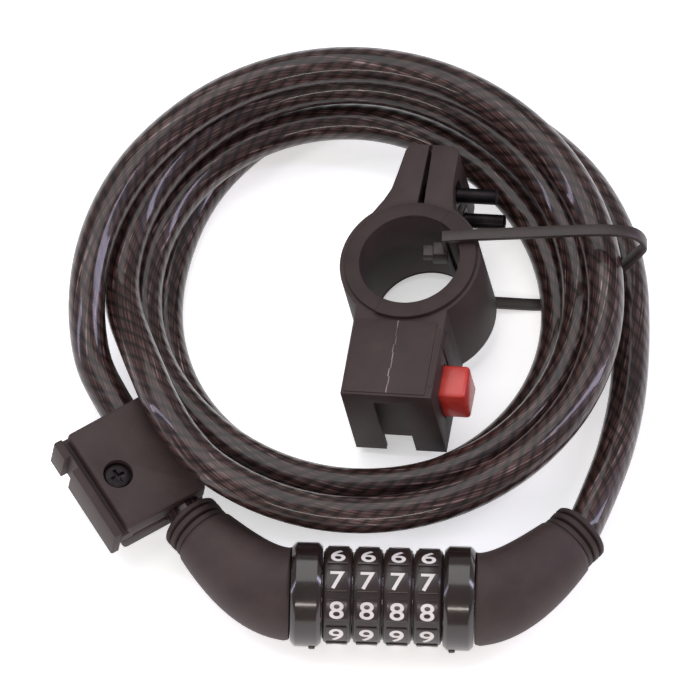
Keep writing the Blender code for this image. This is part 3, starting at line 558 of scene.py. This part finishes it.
for side, name, body in ((-1, "left", "lock"), (1, "right", "plug")):
    shape = bmesh.new()
    outline = [
        (COLLAR_START, COLLAR_BORE), (COLLAR_START, 0.0156), (COLLAR_START + 0.0003, 0.0159),
        (COLLAR_START + 0.0012, 0.0168), (COLLAR_START + 0.0016, COLLAR_RADIUS),
        (COLLAR_END - 0.0016, COLLAR_RADIUS), (COLLAR_END - 0.0012, 0.0168),
        (COLLAR_END - 0.0003, 0.0159), (COLLAR_END, 0.0156), (COLLAR_END, COLLAR_MOUTH),
        (COLLAR_END - COLLAR_WALL, COLLAR_MOUTH), (COLLAR_END - COLLAR_WALL, COLLAR_BORE),
    ]
    lathe(shape, on_head(0), HEAD_X, [(side * along, radius) for along, radius in outline], 144)
    nub = bmesh.new()
    slab(nub, (-0.0011, -0.0012, -0.0012), (0.0011, 0.0012, 0.0008), 0.0005)
    bent_on(nub, side * (COLLAR_START + 0.0030), COLLAR_RADIUS, NUB_TURN)
    taken(shape, nub)
    mesh = closed_mesh(f"{name}_collar_moulding", shape)
    obj = place_piece(f"{name}_collar_moulding", mesh, bright_abs, body, f"{name}_collar", angle=25)

# ---- curved sleeves and their glands
# Each sleeve is a matte nylon moulding that narrows as it bends from the collar to the cable.
# A soft TPR gland is pushed into its mouth: a rib, a groove and a rounded lip round the cable.

# Nylon from a spark-eroded mould: an even fine grain that scatters the light.
matte_nylon = moulded(
    "spark_textured_nylon", "#2f2322", "#3c2e2d", 0.60, 0.0007, 0.45, specular=0.30,
)
# Thermoplastic rubber: softer and duller than the nylon, with hardly a highlight.
soft_tpr = moulded("soft_matte_tpr", "#2a1f1e", "#372a29", 0.66, 0.0006, 0.35, specular=0.28)
SLEEVE_END = Vector((0.05856, 0.02075))
SLEEVE_WIDE, SLEEVE_NARROWING = 0.01525, 0.00465
SLEEVE_STEPS = 40
SLEEVE_OUT = Vector((math.cos(math.radians(50)), math.sin(math.radians(50))))

for side, name, body in ((-1, "left", "lock"), (1, "right", "plug")):
    corners = [
        Vector((0.0300, 0.0)), Vector((0.0399, 0.0)), SLEEVE_END - SLEEVE_OUT * 0.0120, SLEEVE_END,
    ]
    middle, radii = [], []
    for i in range(SLEEVE_STEPS + 1):
        t = i / SLEEVE_STEPS
        a, b, c, d = corners
        spot = a * (1 - t)**3 + b * 3 * t * (1 - t)**2 + c * 3 * t * t * (1 - t) + d * t**3
        middle.append(on_head(side * spot.x, spot.y))
        radii.append(SLEEVE_WIDE - SLEEVE_NARROWING * t**1.4)
    rounding = ((0.0, -0.0009), (0.0003, -0.0004), (0.0009, 0.0))
    first = [middle[0] + HEAD_X * side * step for step, _ in rounding]
    middle = first + middle[2:]
    radii = [SLEEVE_WIDE + less for _, less in rounding] + radii[2:]
    radii[-1] -= 0.0006
    mesh = swept(f"{name}_sleeve_moulding", middle, radii, 48)
    obj = place_piece(
        f"{name}_sleeve_moulding", mesh, matte_nylon, body, f"{name}_sleeve", angle=40,
    )

    shape = bmesh.new()
    mouth = on_head(side * SLEEVE_END.x, SLEEVE_END.y)
    out = HEAD_X * side * SLEEVE_OUT.x + HEAD_Y * SLEEVE_OUT.y
    lathe(shape, mouth, out, [
        (0.0002, 0.0061), (0.0002, 0.0098), (0.0005, 0.0101), (0.0019, 0.0101), (0.0021, 0.0098),
        (0.0022, 0.0086), (0.0030, 0.0086), (0.0031, 0.0098), (0.0033, 0.0101), (0.0048, 0.0102),
        (0.0050, 0.0099), (0.0051, 0.0089), (0.0058, 0.0089), (0.0059, 0.0098), (0.0062, 0.0102),
        (0.0073, 0.0101), (0.0077, 0.0097), (0.0080, 0.0089), (0.0080, 0.0074), (0.0077, 0.0061),
    ], 72)
    mesh = closed_mesh(f"{name}_strain_relief", shape)
    obj = place_piece(f"{name}_strain_relief", mesh, soft_tpr, body, f"{name}_gland", angle=32)

# ---- turned metal inside the head
# The barrel, its pin and the two ferrules are turned steel with bright zinc plate; the code
# rings are turned brass, and the detent is a strip of spring steel.


RING_STEP = 0.00035


def turned_metal(name, dark, light, rough, axis):
    """Metal with fine rings about a direction, 0.35 mm apart, which is coarser than real."""
    made, shader = new_material(name)
    place = add(made, "ShaderNodeTexCoord")
    across = add(made, "ShaderNodeVectorMath", {
        0: place.outputs["Object"], 1: axis,
    }, operation="DOT_PRODUCT")
    lines = add(made, "ShaderNodeMath", {
        0: across.outputs["Value"], 1: 2 * math.pi / RING_STEP,
    }, operation="MULTIPLY")
    rings = add(made, "ShaderNodeMath", {0: lines.outputs[0]}, operation="SINE")
    cloud = add(made, "ShaderNodeTexNoise", {
        "Vector": place.outputs["Object"], "Scale": 260.0, "Detail": 4.0,
    })
    tone = add(made, "ShaderNodeValToRGB", {"Fac": cloud.outputs["Fac"]})
    for stop, position, code in zip(tone.color_ramp.elements, (0.3, 0.7), (dark, light)):
        stop.position = position
        stop.color = srgb(code)
    made.node_tree.links.new(tone.outputs["Color"], shader.inputs["Base Color"])
    bump = add(made, "ShaderNodeBump", {
        "Height": rings.outputs[0], "Strength": 0.15, "Distance": 0.00003,
    })
    made.node_tree.links.new(bump.outputs["Normal"], shader.inputs["Normal"])
    shader.inputs["Metallic"].default_value = 1.0
    shader.inputs["Roughness"].default_value = rough
    return made


def dressed(made, *nodes):
    """Gives CAD nodes that stay in view a material."""
    for name in nodes:
        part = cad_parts[name]
        part.data.materials.clear()
        part.data.materials.append(made)


# Bright zinc plate over lathe marks: a cool clean grey that streaks round the pin.
zinc = turned_metal("zinc_plated_steel", "#9a9b9f", "#c6c7ca", 0.30, tuple(HEAD_X))
dressed(zinc, "barrel", "locking_pin", "left_ferrule", "right_ferrule")
# Turned brass, left bare: a dull yellow with the same lathe marks.
brass = turned_metal("turned_brass", "#a8843f", "#c9a65c", 0.30, tuple(HEAD_X))
dressed(brass, "code_ring_1", "code_ring_2", "code_ring_3", "code_ring_4")
# Hard-rolled spring steel: a smoother, slightly blue grey.
spring_steel = turned_metal("blue_spring_steel", "#8b8d93", "#b4b6bb", 0.25, tuple(HEAD_Y))
dressed(spring_steel, "detent_spring", "button_spring")

# ---- carrier clip
# Two halves of textured nylon are screwed together round the cable, with a T rail along the
# outer side. The screw is black oxide steel with a cross recess.

# Black oxide on steel: a thin brown-black skin that keeps a low metal shine.
black_oxide = turned_metal("black_oxide_steel", "#1c191b", "#2e2a2c", 0.42, tuple(CARRIER_Y))


def copied(name, node, edge, angle=30.0):
    """A CAD node's shape with its facets merged, flat faces made whole and its edges eased."""
    shape = bmesh.new()
    shape.from_mesh(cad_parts[node].data)
    bmesh.ops.remove_doubles(shape, verts=list(shape.verts), dist=2e-6)
    bmesh.ops.dissolve_limit(
        shape, angle_limit=math.radians(1.5), verts=list(shape.verts), edges=list(shape.edges),
    )
    if edge:
        sharp = [
            e for e in shape.edges
            if len(e.link_faces) == 2 and e.calc_face_angle(0) > math.radians(angle)
        ]
        bmesh.ops.bevel(
            shape, geom=sharp, offset=edge, segments=2, profile=0.5, affect="EDGES", material=-1,
            clamp_overlap=True,
        )
    bmesh.ops.triangulate(shape, faces=[f for f in shape.faces if len(f.verts) > 4])
    mesh = bpy.data.meshes.new(name)
    shape.to_mesh(mesh)
    shape.free()
    return mesh


for name, node, finish, slot, edge in (
    ("carrier_front_half", "carrier_front", matte_nylon, "matte_black_plastic", 0.00025),
    ("carrier_back_half", "carrier_back", matte_nylon, "matte_black_plastic", 0.00025),
    ("cross_head_screw", "carrier_screw", black_oxide, "black_oxide_steel", 0.00008),
):
    obj = place_piece(name, copied(name, node, edge), finish, "lock", node, angle=28)

# ---- frame clamp
# A split ring of textured nylon that two bolts close on a bar, with a block below it that
# takes the carrier's T rail. Its ears flare out of the ring, and a mould line runs down the block.

CLAMP_PLACE = Matrix((
    (0.975528, 0.156434, -0.154509, 0.025201), (-0.154509, 0.987688, 0.024472, 0.041045),
    (0.156434, 0.0, 0.987688, 0.0053), (0, 0, 0, 1),
))
CLAMP_WIDTH = 0.0340
RING_RADIUS, BORE_RADIUS = 0.0231, 0.01975
BLOCK_HALF, BLOCK_FOOT = 0.0150, 0.0510
EAR_TOP, SLIT_FOOT = 0.0440, 0.0150
BOLT_UP, BOLT_HEIGHTS = 0.0310, (0.0091, 0.0249)
SHANK_HOLE, HEAD_RECESS, NUT_RECESS = 0.0028, 0.00455, 0.0052
THROUGH = 0.002  # a cutter's reach past the face it cuts
LINE_PIECES, LINE_FOOT, LINE_STEP = 9, -0.0500, 0.00302
LINE_HALF, LINE_RISE, LINE_DRIFT = 0.0002, 0.00055, 0.00025


def arc(radius, start, end, steps):
    return [
        (radius * math.cos(math.radians(start + (end - start) * i / steps)),
         radius * math.sin(math.radians(start + (end - start) * i / steps)))
        for i in range(steps + 1)
    ]


def plate(outline, low, high):
    """A bmesh of a flat outline, raised from one height to another."""
    shape = bmesh.new()
    face = shape.faces.new([shape.verts.new((x, y, low)) for x, y in outline])
    risen = bmesh.ops.extrude_face_region(shape, geom=[face])["geom"]
    top = [knot for knot in risen if isinstance(knot, bmesh.types.BMVert)]
    bmesh.ops.translate(shape, verts=top, vec=(0, 0, high - low))
    bmesh.ops.recalc_face_normals(shape, faces=list(shape.faces))
    return shape


def post(start, end, radius, sides):
    """A bmesh cylinder between two points."""
    start, end = Vector(start), Vector(end)
    shape = bmesh.new()
    turn = (end - start).to_track_quat("Z", "Y").to_matrix().to_4x4()
    bmesh.ops.create_cone(
        shape, cap_ends=True, segments=sides, radius1=radius, radius2=radius,
        depth=(end - start).length, matrix=Matrix.Translation((start + end) / 2) @ turn,
    )
    return shape


def cleared(shape, cutters):
    """The shape with every cutter taken out of it."""
    def holder(made):
        mesh = bpy.data.meshes.new("bench")
        made.to_mesh(mesh)
        made.free()
        obj = bpy.data.objects.new("bench", mesh)
        bpy.context.scene.collection.objects.link(obj)
        return obj

    block = holder(shape)
    tools = [holder(cutter) for cutter in cutters]
    for tool in tools:
        step = block.modifiers.new("cut", "BOOLEAN")
        step.solver = "EXACT"
        step.operation = "DIFFERENCE"
        step.object = tool
    bpy.context.view_layer.update()
    graph = bpy.context.evaluated_depsgraph_get()
    mesh = bpy.data.meshes.new_from_object(block.evaluated_get(graph))
    done = bmesh.new()
    done.from_mesh(mesh)
    for obj in [block] + tools:
        bpy.data.meshes.remove(obj.data)
    bpy.data.meshes.remove(mesh)
    return done


def eased(shape, edge, angle=30.0):
    """Merges, flattens and bevels the sharp edges of a cut shape."""
    bmesh.ops.remove_doubles(shape, verts=list(shape.verts), dist=2e-6)
    bmesh.ops.dissolve_limit(
        shape, angle_limit=math.radians(1.0), verts=list(shape.verts), edges=list(shape.edges),
    )
    sharp = [
        e for e in shape.edges
        if len(e.link_faces) == 2 and e.calc_face_angle(0) > math.radians(angle)
    ]
    bmesh.ops.bevel(
        shape, geom=sharp, offset=edge, segments=2, profile=0.5, affect="EDGES", material=-1,
        clamp_overlap=True,
    )
    bmesh.ops.triangulate(shape, faces=[f for f in shape.faces if len(f.verts) > 4])


def box(low, high):
    shape = bmesh.new()
    slab(shape, low, high, 0.00001, 1)
    return shape


right_ear = [
    (0.0104, 0.0238), (0.0098, 0.0270), (0.0095, 0.0310), (0.0095, 0.0412), (0.0090, 0.0431),
    (0.0072, EAR_TOP),
]
left_ear = [
    (-0.0052, EAR_TOP), (-0.0071, 0.0433), (-0.0081, 0.0414), (-0.0095, 0.0320),
    (-0.0104, 0.0268), (-0.0122, 0.0226),
]
outline = [(-BLOCK_HALF, -BLOCK_FOOT), (BLOCK_HALF, -BLOCK_FOOT)]
outline += arc(RING_RADIUS, -49.5, 61, 28) + right_ear + [(0.0006, EAR_TOP), (0.0013, SLIT_FOOT)]
outline += [(-0.0013, SLIT_FOOT), (-0.0006, EAR_TOP)] + left_ear + arc(RING_RADIUS, 131, 229.5, 26)
body = plate(outline, 0.0, CLAMP_WIDTH)
cutters = [
    post((0, 0, -THROUGH), (0, 0, CLAMP_WIDTH + THROUGH), BORE_RADIUS, 96),
    box((-0.0049, -0.053, -THROUGH), (0.0049, -0.0487, 0.0290)),  # the T slot's neck
    box((-0.0079, -0.0492, -THROUGH), (0.0079, -0.0456, 0.0290)),  # the T slot's wings
    box((0.0051, -0.0444, 0.0096), (0.0170, -0.0316, 0.0244)),  # the button's pocket
]
for place in BOLT_HEIGHTS:
    outer, inner = (-0.0120, BOLT_UP, place), (0.0120, BOLT_UP, place)
    cutters.append(post(outer, inner, SHANK_HOLE, 28))
    cutters.append(post(outer, (-0.0042, BOLT_UP, place), HEAD_RECESS, 40))
    cutters.append(post((0.0053, BOLT_UP, place), inner, NUT_RECESS, 6))
shape = cleared(body, cutters)
eased(shape, 0.0004)
# Three raised panels: on the block's face, beside it, and on its button side.
for low, high, edge in (
    ((-0.0141, -0.0502, CLAMP_WIDTH - 0.0003), (0.0128, -0.0226, CLAMP_WIDTH + 0.0004), 0.0003),
    ((0.0136, -0.0470, CLAMP_WIDTH - 0.0003), (0.0146, -0.0250, CLAMP_WIDTH + 0.0002), 0.0002),
    ((BLOCK_HALF - 0.0004, -0.0300, 0.0060), (BLOCK_HALF + 0.0005, -0.0230, 0.0300), 0.0003),
):
    slab(shape, low, high, edge)
plain_faces = len(shape.faces)
for i in range(LINE_PIECES):
    low, high = LINE_FOOT + LINE_STEP * i, LINE_FOOT + LINE_STEP * (i + 1)
    drift = LINE_DRIFT * math.sin(i * 2.3)
    slab(
        shape, (drift - LINE_HALF, low, CLAMP_WIDTH),
        (drift + LINE_HALF, high, CLAMP_WIDTH + LINE_RISE), 0.00008,
    )
bmesh.ops.transform(shape, verts=list(shape.verts), matrix=CLAMP_PLACE)
mesh = bpy.data.meshes.new("split_clamp")
shape.to_mesh(mesh)
shape.free()
obj = place_piece("split_clamp", mesh, matte_nylon, "lock", "clamp_body", angle=28)
# Nylon along the raised mould line, coloured paler than the block.
pale_line_finish = moulded("pale_mould_line", "#4a3b39", "#a08f8a", 0.70, 0.0005, 0.30, specular=0.3)
mesh.materials.append(pale_line_finish)
for face in mesh.polygons[plain_faces:]:
    face.material_index = 1

# ---- clamp liner
# A soft TPR sleeve keeps the clamp from marking the bar. Its two flange leaves overlap, so a
# step shows where one edge lies over the other.

LINER_BORE, LINER_SKIN = 0.0165, 0.01945
SEAT = 0.0002  # clear of the clamp's faces

shape = bmesh.new()
for start, end, flange, thick in ((-113, 61, 0.0219, 0.0016), (59, 249, 0.0215, 0.0012)):
    steps = max(8, int((end - start) / 3))
    for low, high, inner, outer in (
        (-thick, -SEAT, LINER_BORE, flange), (-SEAT, CLAMP_WIDTH + SEAT, LINER_BORE, LINER_SKIN),
        (CLAMP_WIDTH + SEAT, CLAMP_WIDTH + thick, LINER_BORE, flange),
    ):
        leaf = plate(arc(outer, start, end, steps) + arc(inner, end, start, steps), low, high)
        eased(leaf, 0.0003)
        taken(shape, leaf)
bmesh.ops.transform(shape, verts=list(shape.verts), matrix=CLAMP_PLACE)
mesh = bpy.data.meshes.new("bore_liner")
shape.to_mesh(mesh)
shape.free()
obj = place_piece("bore_liner", mesh, soft_tpr, "lock", "clamp_liner", angle=28)

# ---- clamp bolts and nuts
# Two cap screws of black oxide steel cross the ears, each with a hexagon nut let into the far ear.

for name, node in (
    ("clamp_bolt_upper", "clamp_bolt_1"), ("clamp_bolt_lower", "clamp_bolt_2"),
    ("hex_nut_upper", "clamp_nut_1"), ("hex_nut_lower", "clamp_nut_2"),
):
    obj = place_piece(name, copied(name, node, 0.00010), black_oxide, "lock", node, angle=28)

# ---- release button
# A red acetal button in the block's side, sprung outwards, whose nose locks the rail's notch.

# Acetal, moulded in colour: an even red with a low waxy shine.
red_acetal = moulded("red_acetal", "#a8221a", "#c2352b", 0.36, 0.0006, 0.12, coat=0.15)
obj = place_piece(
    "red_release_button", copied("red_release_button", "release_button", 0.00025), red_acetal,
    "button", "release_button", angle=28,
)

# ---- cable tie
# A black nylon tie holds the clamp to the coil for sale: strap, ratchet head and cut tail.

STRAP_SHARE = 0.78  # of its CAD solid's width: the real strap is narrower

# Nylon 66, moulded smooth: black-brown, a little shinier than the textured nylon.
tie_nylon = moulded("moulded_nylon_66", "#241b1a", "#342827", 0.42, 0.0008, 0.15, specular=0.35)
mesh = copied("nylon_tie", "cable_tie", 0.00015)
tie_middle = sum(corner[1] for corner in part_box("cable_tie")) / 2
for knot in mesh.vertices:
    knot.co.y = tie_middle + (knot.co.y - tie_middle) * STRAP_SHARE
obj = place_piece("nylon_tie", mesh, tie_nylon, "lock", "cable_tie")
